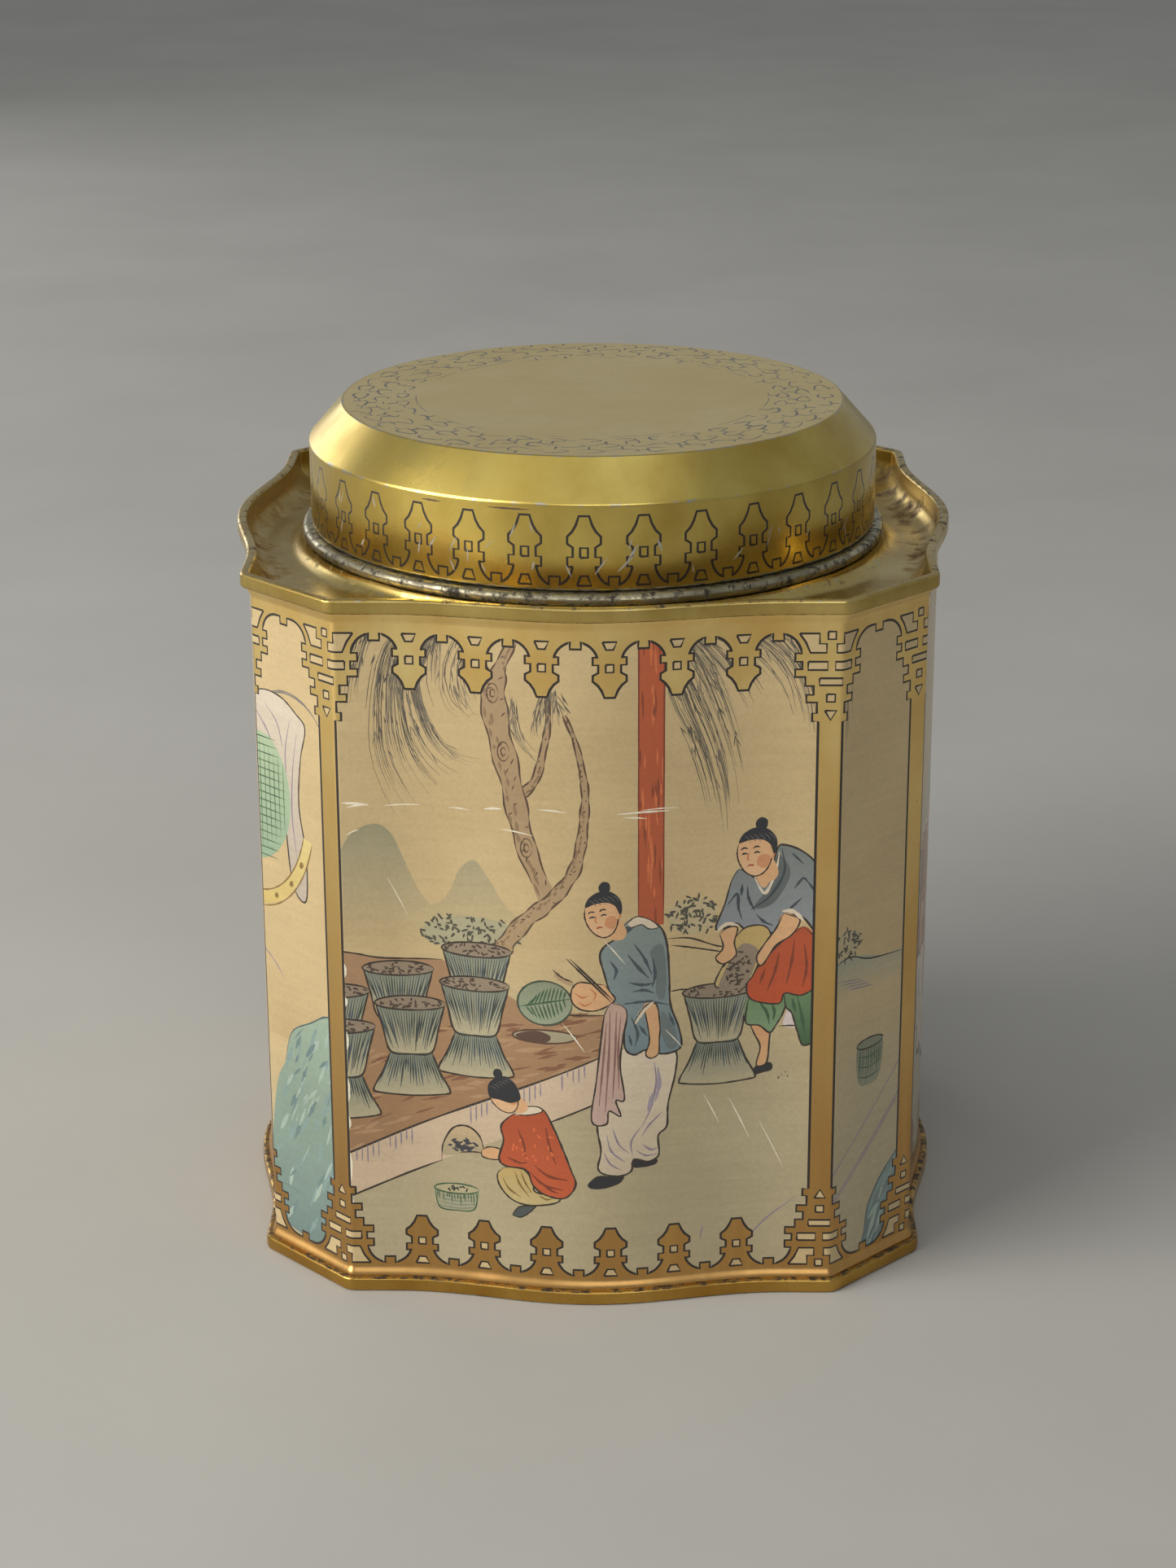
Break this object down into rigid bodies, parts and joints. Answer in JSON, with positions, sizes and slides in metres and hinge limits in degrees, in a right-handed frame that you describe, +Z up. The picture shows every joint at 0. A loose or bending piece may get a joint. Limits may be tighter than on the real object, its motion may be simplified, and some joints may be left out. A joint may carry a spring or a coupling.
{
  "type": "tea caddy",
  "caption": "Tinplate tea caddy with bowed sides, cut-off corners, a sunk top and a round slip lid that lifts off a beaded neck.",
  "frame": {"origin": "middle of the footprint, on the surface the caddy stands on", "axes": "+Z up along the lid's axis, front side towards -Y, +X to the right of it"},
  "size_m": [0.1192, 0.1192, 0.1377],
  "materials": {
    "printed_wrap": "varnished print",
    "gold_end": "gold lacquer",
    "gold_top": "gold lacquer, stained",
    "bare_tinplate": "bare tinplate, tarnished",
    "printed_lid": "gold lacquer with print"
  },
  "bodies": {
    "canister": {"body_wrap": "printed_wrap", "bottom_end": "gold_end", "top_end": "gold_top", "neck_ring": "bare_tinplate"},
    "lid": {"lid": "printed_lid"}
  },
  "joints": [
    {"name": "lid_lift", "type": "slide", "parent": "canister", "child": "lid", "axis": [0, 0, 1], "range_m": [0, 0.03]}
  ]
}
